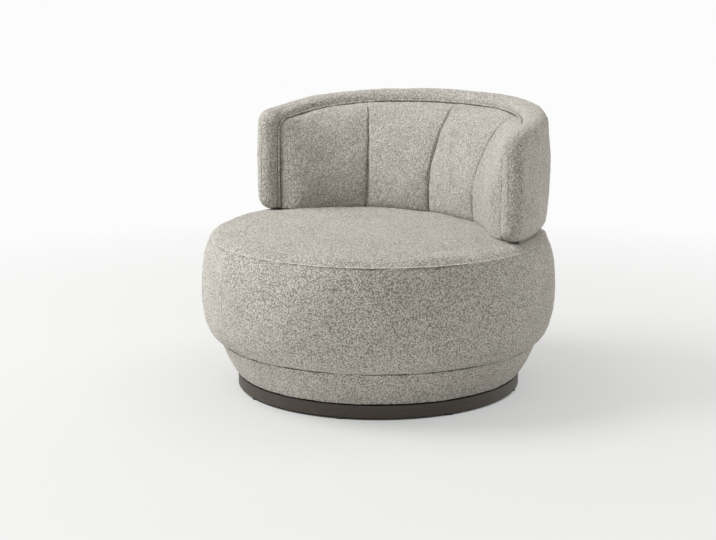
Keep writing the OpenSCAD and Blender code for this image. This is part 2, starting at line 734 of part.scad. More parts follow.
module drum_side_foam() {
    color(foam_tone) turned(concat([[lower_seam_r - fabric_t, waist_z], [wall_r, waist_z], [wall_r, web_top]],
        [for (i = [split_step : -1 : 0]) side_in[i]]));
}

module lower_band_foam() {
    color(foam_tone) turned(concat([[base_r, waist_z], [base_r, base_z]], band_in,
        [[lower_seam_r - fabric_t, waist_z]]));
}

module block_pockets() {
    for (a = block_angles) block(a, block_r - block_gap, block_t + 2 * block_gap, block_w + 2 * block_gap,
        ring_top - cut, back_z - ring_top + cut);
}

module seat_foam() {
    color(foam_tone) difference() {
        turned(concat([[0, web_top], [wall_r, web_top]],
            [for (i = [split_step : side_steps - 1]) side_in[i]], crown_in));
        block_pockets();
    }
}

module back_posts() {
    color(ply_tone) difference() {
        for (a = block_angles) block(a, block_r, block_t, block_w, ring_top, rail_z - ring_top);
        for (a = block_angles) rotate(-a) translate([0, bolt_r, ring_top - cut])
            cylinder(d = bolt_d + 2 * hole_gap, h = rail_z - ring_top + 2 * cut, $fn = 32);
    }
}

module back_bolts() {
    length = rail_z + rail_t + tee_t + bolt_past - ring_z;
    color(steel_tone) for (a = block_angles) rotate(-a) translate([0, bolt_r, ring_z]) {
        cylinder(d = bolt_d, h = length, $fn = 32);
        translate([0, 0, -bolt_head_t]) cylinder(d = bolt_flats / cos(30), h = bolt_head_t, $fn = 6);
    }
}

module back_tee_nuts() {
    top = rail_z + rail_t;
    color(steel_tone) for (a = block_angles) rotate(-a) translate([0, bolt_r, top]) difference() {
        union() {
            cylinder(d = tee_d, h = tee_t, $fn = 32);
            translate([0, 0, -tee_l]) cylinder(d = bolt_d + 2 * tee_wall, h = tee_l, $fn = 32);
        }
        translate([0, 0, -tee_l - cut])
            cylinder(d = bolt_d + 2 * run_gap, h = tee_l + tee_t + 2 * cut, $fn = 32);
    }
}

module back_bottom_rail() {
    color(ply_tone) difference() {
        ring_part(frame_ro, frame_ri, rail_z, rail_t, frame_a);
        for (a = block_angles) rotate(-a) translate([0, bolt_r, rail_z - cut]) {
            cylinder(d = bolt_d + 2 * hole_gap, h = rail_t + 2 * cut, $fn = 32);
            translate([0, 0, rail_t - tee_l])
                cylinder(d = bolt_d + 2 * tee_wall + 2 * hole_gap, h = tee_l + 2 * cut, $fn = 32);
        }
    }
}

module back_top_rail() {
    color(ply_tone) ring_part(frame_ro, frame_ri, frame_top - rail_t, rail_t, frame_a);
}

module back_ribs() {
    color(ply_tone) intersection() {
        for (a = rib_angles) block(a, frame_ri - cut, frame_d + 2 * cut, rib_t, rail_z + rail_t,
            frame_h - 2 * rail_t);
        ring(frame_ro - skin_t, frame_ri + skin_t, rail_z + rail_t, frame_h - 2 * rail_t);
    }
}

module back_outer_panel() {
    color(ply_tone) ring_part(frame_ro, frame_ro - skin_t, rail_z + rail_t, frame_h - 2 * rail_t, frame_a);
}

module back_inner_panel() {
    color(ply_tone) ring_part(frame_ri + skin_t, frame_ri, rail_z + rail_t, frame_h - 2 * rail_t, frame_a);
}

module back_foam() {
    color(foam_tone) sleeve(back_inner_rings, hollow_rings);
}

module back_cushion_core(i) {
    steps = len(channel_shares);
    color(foam_tone) loft([for (k = [0 : steps]) cushion_ring(channel_angles[i * steps + k], fabric_t)]);
}

module lower_band_cover() {
    color(fabric_tone) turned(concat(band_out, reversed(band_in)));
}

module drum_side_cover() {
    color(fabric_tone) turned(concat(side_out, reversed(side_in)));
}

module seat_cover() {
    color(fabric_tone) difference() {
        turned(concat(crown_out, reversed(crown_in)));
        block_pockets();
    }
}

module back_cover() {
    color(fabric_tone) sleeve(back_outer_rings, back_inner_rings);
}

module rim_welt() {
    color(fabric_tone) loft(welt_rings);
}

module back_cushion_cover() {
    color(fabric_tone) sleeve([for (a = channel_angles) cushion_ring(a, 0)],
        [for (a = channel_angles) cushion_ring(a, fabric_t)]);
}

floor_glides();
plinth_ring();
plinth_board();
swivel_lower_plate();
lower_plate_screws();
pivot_bolt();
pivot_nut();
ball_retainer();
bearing_balls();
swivel_upper_plate();
pivot_bushing();
upper_plate_bolts();
base_panel();
dust_cover();
base_screws();
drum_posts();
waist_ring();
drum_wall();
seat_ring();
ring_screws();
seat_webbing_long();
seat_webbing_cross();
drum_side_foam();
lower_band_foam();
seat_foam();
back_posts();
back_bolts();
back_tee_nuts();
back_bottom_rail();
back_top_rail();
back_ribs();
back_outer_panel();
back_inner_panel();
back_foam();
back_cushion_core(0);  // back_cushion_core_1
back_cushion_core(1);  // back_cushion_core_2
back_cushion_core(2);  // back_cushion_core_3
back_cushion_core(3);  // back_cushion_core_4
lower_band_cover();
drum_side_cover();
seat_cover();
back_cover();
rim_welt();
back_cushion_cover();
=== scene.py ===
import json
import math

import bmesh
import bpy
import numpy as np
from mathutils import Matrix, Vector, noise


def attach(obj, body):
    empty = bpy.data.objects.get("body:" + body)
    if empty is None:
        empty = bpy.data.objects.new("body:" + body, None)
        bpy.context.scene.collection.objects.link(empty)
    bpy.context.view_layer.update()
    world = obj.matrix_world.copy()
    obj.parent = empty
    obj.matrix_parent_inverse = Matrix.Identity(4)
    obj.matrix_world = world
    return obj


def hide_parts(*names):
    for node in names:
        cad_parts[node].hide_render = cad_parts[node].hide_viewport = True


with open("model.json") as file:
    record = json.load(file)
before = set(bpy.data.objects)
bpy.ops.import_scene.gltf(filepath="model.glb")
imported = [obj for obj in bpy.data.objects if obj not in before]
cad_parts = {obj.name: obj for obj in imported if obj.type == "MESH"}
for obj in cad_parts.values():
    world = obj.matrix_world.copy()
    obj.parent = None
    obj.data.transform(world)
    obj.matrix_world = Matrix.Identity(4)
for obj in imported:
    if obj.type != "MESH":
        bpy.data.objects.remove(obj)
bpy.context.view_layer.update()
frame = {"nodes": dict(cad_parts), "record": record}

scene = bpy.context.scene
nodes = frame["nodes"]
print("frame loaded:", len(nodes), "solids")


class Wire:  # a socket that takes part in sums

    def __init__(self, shader, socket):
        self.shader = shader
        self.socket = socket

    def maths(self, operation, *others):
        return self.shader.node("ShaderNodeMath", {"operation": operation},
                                dict(enumerate((self, *others))))

    def __add__(self, other):
        return self.maths("ADD", other)

    def __sub__(self, other):
        return self.maths("SUBTRACT", other)

    def __mul__(self, other):
        return self.maths("MULTIPLY", other)

    def __truediv__(self, other):
        return self.maths("DIVIDE", other)

    def __pow__(self, other):
        return self.maths("POWER", other)

    def __rsub__(self, other):
        return self.shader.node("ShaderNodeMath", {"operation": "SUBTRACT"}, {0: other, 1: self})

    __radd__ = __add__

    def clear(self):  # kept between 0 and 1
        return self.shader.node("ShaderNodeClamp", {}, {"Value": self})

    def size(self):  # without its sign
        return self.maths("ABSOLUTE")


class Shader:

    def __init__(self, tree):
        self.tree = tree
        tree.nodes.clear()

    def node(self, kind, settings, inputs, output=0):
        made = self.tree.nodes.new(kind)
        for name, value in settings.items():
            setattr(made, name, value)
        for name, value in inputs.items():
            if isinstance(value, Wire):
                self.tree.links.new(value.socket, made.inputs[name])
            else:
                made.inputs[name].default_value = value
        if made.outputs:
            return Wire(self, made.outputs[output])

    def several(self, kind, inputs, *outputs):
        made = self.node(kind, {}, inputs).socket.node
        return [Wire(self, made.outputs[output]) for output in outputs]

    def place(self):
        return self.node("ShaderNodeTexCoord", {}, {}, "Object")

    def axes(self):
        return self.several("ShaderNodeSeparateXYZ", {0: self.place()}, 0, 1, 2)

    def joined(self, x, y, z):
        return self.node("ShaderNodeCombineXYZ", {}, {0: x, 1: y, 2: z})

    def noise(self, scale, detail, vector=None, rough=0.5, output=0):
        inputs = {"Vector": vector or self.place(), "Scale": scale, "Detail": detail, "Roughness": rough}
        return self.node("ShaderNodeTexNoise", {}, inputs, output)

    def cells(self, scale, vector=None, randomness=1.0):
        inputs = {"Vector": vector or self.place(), "Scale": scale, "Randomness": randomness}
        return self.node("ShaderNodeTexVoronoi", {"feature": "F1"}, inputs, "Distance")

    def blend(self, share, low, high):
        return self.node("ShaderNodeMix", {"data_type": "RGBA"}, {0: share, 6: low, 7: high}, 2)

    def bump(self, height, distance, strength):
        return self.node("ShaderNodeBump", {}, {"Height": height, "Distance": distance, "Strength": strength})


def tone(red, green, blue):  # a screen colour as linear light
    return tuple(c / 12.92 if c <= 0.04045 else ((c + 0.055) / 1.055) ** 2.4
                 for c in (red / 255, green / 255, blue / 255)) + (1,)


def finished(name, make):
    material = bpy.data.materials.new(name)
    material.use_nodes = True
    shader = Shader(material.node_tree)
    surface = shader.node("ShaderNodeBsdfPrincipled", {}, make(shader))
    shader.node("ShaderNodeOutputMaterial", {}, {"Surface": surface})
    return material


fabric = {
    "thread": (239, 234, 226),  # lit loops
    "gap": (122, 117, 108),  # between the loops: painted shade in the hollows
    "loop": 0.0038,
    "looseness": 0.95,
    "stir": 0.006,  # how far the loops are pushed about
    "stirScale": 150,
    "strands": 1.9,  # finer cells for each loop
    "curlAt": 0.34,  # where a loop's curl lies, from its middle
    "lumpFall": 1.35,
    "curlFall": 4.5,
    "strandFall": 1.3,
    "lumpShare": 0.45,
    "curlShare": 0.3,
    "strandShare": 0.35,
    "yarnShare": 0.18,
    "yarnScale": 1500,
    "middleHeight": 0.57,
    "middleShade": 0.59,
    "contrast": 1.35,
    "blotch": 0.25,
    "slowScale": 9,
    "patchScale": 60,
    "jointWidth": 0.0016,
    "jointDepth": 0.6,
    "jointShade": 0.2,
    "lift": 0.0032,
    "roughness": 0.95,
    "specular": 0.2,
    "sheen": 0.45,
    "sheenTint": (0.95, 0.93, 0.9, 1),
}


def boucle(name, joints=(), rings=(), contrast=1.0):  # bands of painted light and shade at a height: a positive change paints a highlight, a negative one paints shade
    def make(shader):
        place = shader.place()
        stir = shader.noise(fabric["stirScale"], 2, output=1)
        bent = shader.node("ShaderNodeVectorMath", {"operation": "MULTIPLY_ADD"},
                           {0: stir, 1: (fabric["stir"],) * 3, 2: place})
        perMetre = 1 / fabric["loop"]
        loops = shader.cells(perMetre, bent, fabric["looseness"])
        small = shader.cells(perMetre * fabric["strands"], bent)
        lump = (1 - loops * fabric["lumpFall"]).clear()
        curl = (1 - (loops - fabric["curlAt"]).size() * fabric["curlFall"]).clear()
        strand = (1 - small * fabric["strandFall"]).clear()
        yarn = shader.noise(fabric["yarnScale"], 2)
        height = (lump * fabric["lumpShare"] + curl * fabric["curlShare"]
                  + strand * fabric["strandShare"] + yarn * fabric["yarnShare"])
        slow = shader.noise(fabric["slowScale"], 3, rough=0.6)
        patch = shader.noise(fabric["patchScale"], 2)
        # higher loops lighter and the hollows between them darker, as painted shade, with random blotches of
        # tone
        shade = ((height - fabric["middleHeight"]) * (fabric["contrast"] * contrast) + fabric["middleShade"]
                 + (slow - 0.5) * fabric["blotch"] + (patch - 0.5) * fabric["blotch"]).clear()
        if joints:
            x, y = shader.axes()[:2]
            around = x.maths("ARCTAN2", y)
            for angle, radius in joints:
                away = (around - math.radians(angle)).size()
                line = (1 - away * (radius / fabric["jointWidth"])).clear()
                height = height - line * fabric["jointDepth"]
                shade = (shade - line * fabric["jointShade"]).clear()
        # each band paints a highlight or shade into the colour at its height
        for level, width, change in rings:
            up = shader.axes()[2]
            shade = (shade + (1 - (up - level).size() * (1 / width)).clear() * change).clear()
        return {
            "Base Color": shader.blend(shade, tone(*fabric["gap"]), tone(*fabric["thread"])),
            "Roughness": fabric["roughness"],
            "Specular IOR Level": fabric["specular"],
            "Sheen Weight": fabric["sheen"],
            "Sheen Roughness": 0.5,
            "Sheen Tint": fabric["sheenTint"],
            "Normal": shader.bump(height, fabric["lift"], 1.0),
        }
    return finished(name, make)


wood = {
    "dark": (50, 43, 37),
    "light": (76, 67, 58),
    "pore": (48, 42, 37),
    "grainAlong": 1.4,  # the grain runs round the plinth
    "grainAcross": 26,
    "poreAlong": 12,
    "poreAcross": 420,
    "roughness": 0.48,
    "coat": 0.04,
    "coatRoughness": 0.25,
}


def darkWood(shader):
    x, y, z = shader.axes()
    around = x.maths("ARCTAN2", y)
    across = wood["grainAcross"]
    grainPlace = shader.joined(around * wood["grainAlong"], z * across, (x * x + y * y) ** 0.5 * across)
    grain = shader.noise(6, 5, grainPlace, 0.65)
    porePlace = shader.joined(around * wood["poreAlong"], z * wood["poreAcross"], 0.0)
    pores = shader.noise(1, 3, porePlace, 0.7)
    worn = shader.noise(14, 3)
    share = (grain * 1.5 - 0.3 + (worn - 0.5) * 0.3).clear()
    colour = shader.blend(share, tone(*wood["dark"]), tone(*wood["light"]))
    return {
        "Base Color": shader.blend((pores * 2.4 - 1.3).clear() * 0.5, colour, tone(*wood["pore"])),
        "Roughness": wood["roughness"] + grain * 0.2,
        "Coat Weight": wood["coat"],
        "Coat Roughness": wood["coatRoughness"],
        "Normal": shader.bump(grain * 0.6 - pores * 0.5, 0.0004, 0.5),
    }


def plywood(shader):
    x, y, z = shader.axes()
    grain = shader.noise(5, 4, shader.joined(x * 3, y * 30, z * 8), 0.6)
    bands = (z * 2400).maths("SINE") * 0.5 + 0.5
    share = (grain * 0.9 + bands * 0.2 - 0.1).clear()
    return {
        "Base Color": shader.blend(share, tone(176, 142, 102), tone(224, 197, 158)),
        "Roughness": 0.62 + grain * 0.15,
        "Normal": shader.bump(grain + bands * 0.2, 0.0003, 0.5),
    }


def metal(low, high, scuffScale, detail, roughness, vary):
    def make(shader):
        scuff = shader.noise(scuffScale, detail)
        return {
            "Base Color": shader.blend(scuff, tone(*low), tone(*high)),
            "Metallic": 1.0,
            "Roughness": roughness + scuff * vary,
        }
    return make


def zincSteel(shader):
    scuff = shader.noise(60, 4)
    share = (shader.cells(140.0) * 0.6 + scuff * 0.5).clear()
    return {
        "Base Color": shader.blend(share, tone(150, 153, 158), tone(196, 198, 202)),
        "Metallic": 1.0,
        "Roughness": 0.3 + share * 0.2,
        "Normal": shader.bump(scuff, 0.0001, 0.3),
    }


def nylon(low, high):
    def make(shader):
        wear = shader.noise(70, 3)
        return {
            "Base Color": shader.blend(wear, tone(*low), tone(*high)),
            "Roughness": 0.45 + wear * 0.2,
            "Normal": shader.bump(shader.noise(1400, 2), 0.0001, 0.4),
        }
    return make


def foam(shader):
    pore = shader.cells(700.0)
    slow = shader.noise(20, 3)
    return {
        "Base Color": shader.blend((pore + slow * 0.5).clear(), tone(226, 216, 184), tone(244, 238, 214)),
        "Roughness": 0.9,
        "Normal": shader.bump(pore, 0.0006, 0.6),
    }


def woven(low, high, pitch):
    def make(shader):
        x, y, z = shader.axes()
        step = 2 * math.pi / pitch
        warp = ((x + z) * step).maths("SINE")
        weft = (y * step).maths("SINE")
        weave = warp * weft * 0.5 + 0.5
        slow = shader.noise(30, 3)
        return {
            "Base Color": shader.blend((weave * 0.7 + slow * 0.4).clear(), tone(*low), tone(*high)),
            "Roughness": 0.85,
            "Normal": shader.bump(weave, 0.0004, 0.6),
        }
    return make


finishes = {
    "dark_wood": finished("darkStainedWood", darkWood),
    "plywood": finished("barePlywood", plywood),
    "steel": finished("zincPlatedSteel", zincSteel),
    "ball_steel": finished("polishedBalls", metal((200, 202, 206), (222, 224, 228), 300, 3, 0.08, 0.08)),
    "cage_brass": finished("rolledBrass", metal((178, 138, 74), (214, 178, 108), 90, 4, 0.28, 0.2)),
    "nylon_black": finished("blackNylon", nylon((26, 26, 26), (44, 44, 43))),
    "nylon_white": finished("whiteNylon", nylon((226, 226, 220), (242, 242, 238))),
    "foam": finished("cutFoam", foam),
    "webbing": finished("wovenStrap", woven((150, 130, 96), (206, 188, 150), 0.0024)),
    "dust_cloth": finished("thinCloth", woven((26, 26, 26), (46, 46, 46), 0.0012)),
    "boucle": boucle("boucle"),
}
for part in frame["record"]["subparts"]:
    for materialSlot in nodes[part["node"]].material_slots:
        materialSlot.material = finishes[part["material_slot"]]
print("materials made:", len(finishes))


def bezier(points, steps):
    path = []
    for i in range(steps + 1):
        t = i / steps
        s = 1 - t
        path.append(tuple(s ** 3 * a + 3 * s * s * t * b + 3 * s * t * t * c + t ** 3 * d
                          for a, b, c, d in zip(*points)))
    return path


def arc(middle, radius, start, end, steps):
    turns = [math.radians(start + (end - start) * i / steps) for i in range(steps + 1)]
    return [(middle[0] + radius * math.cos(t), middle[1] + radius * math.sin(t)) for t in turns]


def evenly(path, count):
    path = np.array(path)
    run = np.concatenate([[0], np.cumsum(np.linalg.norm(np.diff(path, axis=0), axis=1))])
    marks = np.linspace(0, run[-1], count + 1)
    return [tuple(p) for p in np.stack([np.interp(marks, run, path[:, k]) for k in range(path.shape[1])], 1)]


def eased(x):
    x = min(max(x, 0), 1)
    return x * x * (3 - 2 * x)


def spun(outline, steps, sweep=360):
    bm = bmesh.new()
    start = math.radians(180 if sweep == 360 else -sweep / 2)
    ring = [bm.verts.new((r * math.sin(start), r * math.cos(start), z)) for r, z in outline]
    for i in range(len(ring)):
        bm.edges.new((ring[i - 1], ring[i]))
    bmesh.ops.spin(bm, geom=bm.verts[:] + bm.edges[:], cent=(0, 0, 0), axis=(0, 0, 1),
                   angle=-math.radians(sweep), steps=steps, use_merge=sweep == 360)
    return bm


def reshaped(bm, rule):  # rule turns angle, radius and height into new ones
    for vert in bm.verts:
        x, y, z = vert.co
        angle, radius, height = rule(math.atan2(x, y), math.hypot(x, y), z)
        vert.co = (radius * math.sin(angle), radius * math.cos(angle), height)


def faceOut(bm):
    bmesh.ops.recalc_face_normals(bm, faces=bm.faces[:])
    if bm.calc_volume(signed=True) < 0:
        bmesh.ops.reverse_faces(bm, faces=bm.faces[:])


def meshOf(bm, name):
    mesh = bpy.data.meshes.new(name)
    bm.to_mesh(mesh)
    bm.free()
    return mesh


def linked(name, data):
    made = bpy.data.objects.new(name, data)
    scene.collection.objects.link(made)
    return made


def settled(bm):  # points and faces in the same order in each run, so that the cloth comes out the same
    bm.verts.index_update()
    order = sorted(bm.verts, key=lambda vert: tuple(vert.co))
    rank = {vert.index: i for i, vert in enumerate(order)}
    loops = []
    for face in bm.faces:
        loop = [rank[vert.index] for vert in face.verts]
        first = loop.index(min(loop))
        loops.append(loop[first:] + loop[:first])
    fresh = bmesh.new()
    verts = [fresh.verts.new(vert.co) for vert in order]
    for loop in sorted(loops):
        fresh.faces.new([verts[i] for i in loop])
    bm.free()
    return fresh


def shapedPiece(name, bm, material):
    faceOut(bm)
    piece = linked(name, meshOf(settled(bm), name))
    piece.data.materials.append(material)
    return piece


def points(mesh):
    flat = np.empty(len(mesh.vertices) * 3)
    mesh.vertices.foreach_get("co", flat)
    return flat.reshape(-1, 3)


def movePoints(mesh, places):
    mesh.vertices.foreach_set("co", np.ascontiguousarray(places, dtype=np.float64).ravel())
    mesh.update()


def ringPoints(piece):  # the radius and height of each of its points
    spots = points(piece.data)
    return np.hypot(spots[:, 0], spots[:, 1]), spots[:, 2]


swell = {
    "frames": 20,
    "quality": 5,
}


def swollen(jobs):  # a job: a piece, how firmly each point is held, the pressure, the most a point may move
    starts = []
    for piece, held, pressure, most in jobs:
        starts.append(points(piece.data))
        group = piece.vertex_groups.new(name="held")
        for level in np.unique(held):
            group.add(np.nonzero(held == level)[0].tolist(), float(level), "REPLACE")
        cloth = piece.modifiers.new("cover", "CLOTH")
        cloth.settings.quality = swell["quality"]
        cloth.settings.use_pressure = True
        cloth.settings.uniform_pressure_force = pressure
        cloth.settings.vertex_group_mass = "held"
        cloth.settings.effector_weights.gravity = 0
        cloth.collision_settings.use_collision = False
        cloth.point_cache.frame_start, cloth.point_cache.frame_end = 1, swell["frames"]
    for step in range(1, swell["frames"] + 1):
        scene.frame_set(step)
    world = bpy.context.evaluated_depsgraph_get()
    for (piece, held, pressure, most), start in zip(jobs, starts):
        move = points(piece.evaluated_get(world).data) - start
        reach = np.linalg.norm(move, axis=1)
        print(piece.name, "swelled by", round(float(reach.max()) * 1000, 1), "mm")
        most = np.maximum(most, 1e-6)
        share = most * np.tanh(reach / most) / np.maximum(reach, 1e-9)
        piece.modifiers.clear()
        piece.vertex_groups.clear()
        movePoints(piece.data, start + move * share[:, None])
    scene.frame_set(1)


def closed(mesh):
    bm = bmesh.new()
    bm.from_mesh(mesh)
    if bmesh.ops.holes_fill(bm, edges=[e for e in bm.edges if e.is_boundary], sides=0)["faces"]:
        faceOut(bm)
    bm.to_mesh(mesh)
    bm.free()


def refined(piece):  # the ends are filled once the cover is smooth
    smooth = piece.modifiers.new("smooth", "SUBSURF")
    smooth.levels = smooth.render_levels = 1
    world = bpy.context.evaluated_depsgraph_get()
    mesh = bpy.data.meshes.new_from_object(piece.evaluated_get(world))
    mesh.name = piece.name
    piece.modifiers.clear()
    piece.data = mesh
    closed(mesh)


uneven = {
    "stuffing": 9,  # waves of the stuffing, to the metre
    "lumps": 24,
    "lumpShare": 0.6,
    "clumps": 120,  # and of the loops
    "loops": 250,
    "fine": 0.0008,
}


def handmade(piece, slow, fine, seed):  # slow unevenness of the stuffing and the fine clumps of the loops
    mesh = piece.data
    spots = points(mesh)
    normals = np.empty(len(mesh.vertices) * 3)
    mesh.vertices.foreach_get("normal", normals)
    shift = np.array([slow * noise.noise(Vector(p * uneven["stuffing"] + seed))
                      + uneven["lumpShare"] * slow * noise.noise(Vector(p * uneven["lumps"] + seed))
                      + fine * noise.noise(Vector(p * uneven["clumps"]))
                      + fine * noise.noise(Vector(p * uneven["loops"]))
                      for p in spots])
    movePoints(mesh, spots + normals.reshape(-1, 3) * shift[:, None])
    for face in mesh.polygons:
        face.use_smooth = True


def dressed(piece, fill, *replaced):
    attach(piece, "chair")
    if replaced:
        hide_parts(*replaced)
    print(piece.name, len(piece.data.polygons), "faces")


seams = {  # radius and height
    "lower": (0.388, 0.120),
    "upper": (0.409, 0.370),
}


def sleeveOutline(sleeve, pull):  # the bulge between its two turned-in edges
    low, high = sleeve["bulgeHeights"]
    side = evenly(bezier(pull, sleeve["pullSteps"]), sleeve["rows"])
    return sleeve["edgeUnder"] + [p for p in side if low < p[1] < high] + sleeve["edgeOver"] + sleeve["inside"]


drumWall = 0.3925

drum = {
    "pull": [seams["lower"], (0.446, 0.140), (0.436, 0.335), seams["upper"]],
    "pullSteps": 80,
    "rows": 44,
    "steps": 400,
    "bulgeHeights": (0.1235, 0.3665),
    "edgeUnder": [(0.3890, 0.1212), (0.3898, 0.1222)],
    "edgeOver": [(0.4104, 0.3684), (0.4099, 0.3694), (0.4088, 0.3699), (0.4040, 0.3700), (0.3990, 0.3690)],
    "inside": [(drumWall, 0.362), (drumWall, 0.300), (drumWall, 0.220), (drumWall, 0.150),
               (0.3900, 0.1260), (0.3850, 0.1212), (0.3872, 0.1206)],
    "joints": [(-160, 0.42), (20, 0.42)],
    # painted shade in a band just under the upper seam
    "rings": [(0.3668, 0.0022, -0.12)],
    "freeHeights": (0.126, 0.364),
    "heldInside": 0.0005,
    "pressure": 30,
    "most": 0.005,
    "slow": 0.0022,
    "seed": 1.0,
}


def makeDrumSide():
    return shapedPiece("drumSide", spun(sleeveOutline(drum, drum["pull"]), drum["steps"]),
                       boucle("boucleDrumWithPaintedShade", drum["joints"], drum["rings"]))


band = {
    "foot": (0.346, 0.038),
    "size": (0.042, 0.082),
    "shares": [(0, 0), (0.42, 0.305), (0.77, 0.634), (1, 1)],
    "pullSteps": 40,
    "rows": 15,
    "bulgeHeights": (0.041, 0.1170),
    "edgeUnder": [(0.3440, 0.0383), (0.3462, 0.0388)],
    "edgeOver": [(0.3878, 0.1180), (0.3874, 0.1190), (0.3862, 0.1196), (0.3835, 0.1198), (0.3790, 0.1185)],
    "inside": [(0.3740, 0.1100), (0.3560, 0.0700), (0.3420, 0.0440), (0.3410, 0.0386)],
    "slow": 0.0010,
    "seed": 2.0,
}


def makeLowerBand():
    pull = [(band["foot"][0] + band["size"][0] * a, band["foot"][1] + band["size"][1] * b)
            for a, b in band["shares"]]
    return shapedPiece("lowerBand", spun(sleeveOutline(band, pull), drum["steps"]), finishes["boucle"])


seat = {
    "edge": seams["upper"],
    "shoulder": 0.049,
    "rise": 0.0238,
    "shoulderShares": [(0, 0), (0.20, 0.56), (0.52, 0.79), (1, 0.86)],
    "shoulderSteps": 40,
    "middleShares": [(0, 0.86), (0.17, 0.93), (0.67, 1), (1, 1)],
    "middleSteps": 80,
    "cells": 62,
    "crownSteps": 2000,
    "crownUsed": 1990,  # the rest is turned in at the seam
    "turnedIn": [(0.4097, 0.3716), (0.4102, 0.3710), (0.4100, 0.3705), (0.4086, 0.3703), (0.4030, 0.3702),
                 (0.3915, 0.3690), (0.3890, 0.3500), (0.3890, 0.333), (0.3000, 0.333), (0.1500, 0.333)],
    # painted highlight on the seat cover's proud edge just above the upper seam
    "rings": [(0.3718, 0.0014, 0.35)],
    "freeRadius": 0.4075,
    "freeHeight": 0.375,
    "pressure": 4,
    "most": 0.0045,
    "stillRadius": 0.407,
    "easeWidth": 0.10,
    "slow": 0.0022,
    "seed": 3.0,
}


def makeSeatPad():
    edgeR, edgeZ = seat["edge"]
    inner = edgeR - seat["shoulder"]
    shoulder = bezier([(edgeR - seat["shoulder"] * a, edgeZ + seat["rise"] * b)
                       for a, b in seat["shoulderShares"]], seat["shoulderSteps"])
    middle = bezier([(inner - inner * a, edgeZ + seat["rise"] * b)
                     for a, b in seat["middleShares"]], seat["middleSteps"])
    crown = evenly((shoulder + middle[1:])[::-1], seat["crownSteps"])
    bm = bmesh.new()
    bmesh.ops.create_grid(bm, x_segments=2 * seat["cells"], y_segments=2 * seat["cells"], size=1)
    for vert in bm.verts:  # the square's rings become circles
        u, v = vert.co.x, vert.co.y
        share = max(abs(u), abs(v))
        if share < 1e-9:
            turn = 0
        elif abs(u) >= abs(v):
            turn = math.pi / 4 * v / u + (math.pi if u < 0 else 0)
        else:
            turn = math.pi / 2 - math.pi / 4 * u / v + (math.pi if v < 0 else 0)
        r, z = crown[round(share * seat["crownUsed"])]
        vert.co = (r * math.cos(turn), r * math.sin(turn), z)
    edge = [e for e in bm.edges if e.is_boundary]
    for r, z in seat["turnedIn"]:
        grown = bmesh.ops.extrude_edge_only(bm, edges=edge)["geom"]
        for vert in grown:
            if isinstance(vert, bmesh.types.BMVert):
                turn = math.atan2(vert.co.x, vert.co.y)
                vert.co = (r * math.sin(turn), r * math.cos(turn), z)
        edge = [e for e in grown if isinstance(e, bmesh.types.BMEdge)]
    return shapedPiece("seatPad", bm, boucle("boucleSeatWithPaintedHighlight", (), seat["rings"]))


back = {
    "outer": 0.407,
    "inner": 0.347,
    "middle": 0.377,
    "foot": 0.3915,
    "rim": 0.690,
    "drop": 0.050,
    "roll": 0.030,
    "rollSteps": 24,
    "bulge": 0.0055,
    "wallRows": 38,
    "footOut": 0.033,
    "footOutSteps": 9,
    "footIn": 0.018,
    "footInSteps": 5,
    "innerHeights": (0.650, 0.638, 0.60, 0.55, 0.50, 0.46, 0.43),
    "endAngle": 85.44,
    "steps": 256,
    "endSteps": 16,
    "endNarrow": 0.97,
    "endDraw": 0.004,  # how far the arm ends are drawn in outside
    "drawAngle": 58,
    "drawWidth": 24,
    "joints": [(-4, 0.38)],
    "contrast": 0.8,
    "heldInside": 0.004,
    "heldFoot": 0.006,
    "pressure": 4,
    "most": 0.0025,
    "easeAngle": 0.15,
    "slow": 0.0020,
    "seed": 4.0,
}


def rimHeight(angle):
    return back["rim"] - back["drop"] * (abs(math.degrees(angle)) / 90) ** 3


def makeBackShell():
    top = back["rim"] - back["roll"]
    footTop = back["foot"] + back["footOut"]
    rows = back["wallRows"]
    wall = [(back["outer"] + back["bulge"] * math.sin(math.pi * i / rows), footTop + (top - footTop) * i / rows)
            for i in range(1, rows)]
    outline = (
        arc((back["outer"] - back["footOut"], footTop), back["footOut"], -90, 0, back["footOutSteps"]) + wall
        + arc((back["middle"], top), back["roll"], 0, 180, back["rollSteps"])
        + [(back["inner"], z) for z in back["innerHeights"]]
        + arc((back["inner"] + back["footIn"], back["foot"] + back["footIn"]), back["footIn"], 180, 270,
              back["footInSteps"]))
    ends, mains = back["endSteps"], back["steps"] - 2 * back["endSteps"]
    endAngle = math.radians(back["endAngle"])

    def rule(angle, radius, height):
        step = (angle / math.pi + 0.5) * back["steps"]
        past = max(ends - step, step - ends - mains, 0) / ends
        narrow = back["endNarrow"] * (1 - math.cos(past * math.pi / 2))
        if past > 0:
            beyond = back["roll"] * math.sin(past * math.pi / 2) / back["middle"]
            angle = math.copysign(endAngle + beyond, angle)
        else:
            angle = endAngle * (2 * (step - ends) / mains - 1)
        if radius > back["middle"]:
            drawn = back["endDraw"] * eased((abs(math.degrees(angle)) - back["drawAngle"]) / back["drawWidth"])
            radius -= drawn * min((radius - back["middle"]) / back["roll"], 1)
        radius = back["middle"] + (radius - back["middle"]) * (1 - narrow)
        if height > top:
            height = top + (height - top) * (1 - narrow)
        elif height < footTop:
            height = footTop + (height - footTop) * (1 - narrow)
        fall = back["rim"] - rimHeight(angle)
        return angle, radius, height - fall * min(max((height - footTop) / (top - footTop), 0), 1)

    bm = spun(outline, back["steps"], 180)
    reshaped(bm, rule)
    return shapedPiece("backShell", bm, boucle("boucleBack", back["joints"], (), back["contrast"]))


lining = {  # a strip of the fabric that closes the gap between back and seat
    "in": 0.3590,
    "out": 0.3866,
    "foot": 0.376,
    "top": 0.4015,
    "corner": 0.003,
    "cornerSteps": 3,
    "end": 84.0,
    "steps": 120,
    # painted shade in a dark band low on the lining, where it meets the seat
    "rings": [(0.386, 0.007, -2.0)],
}


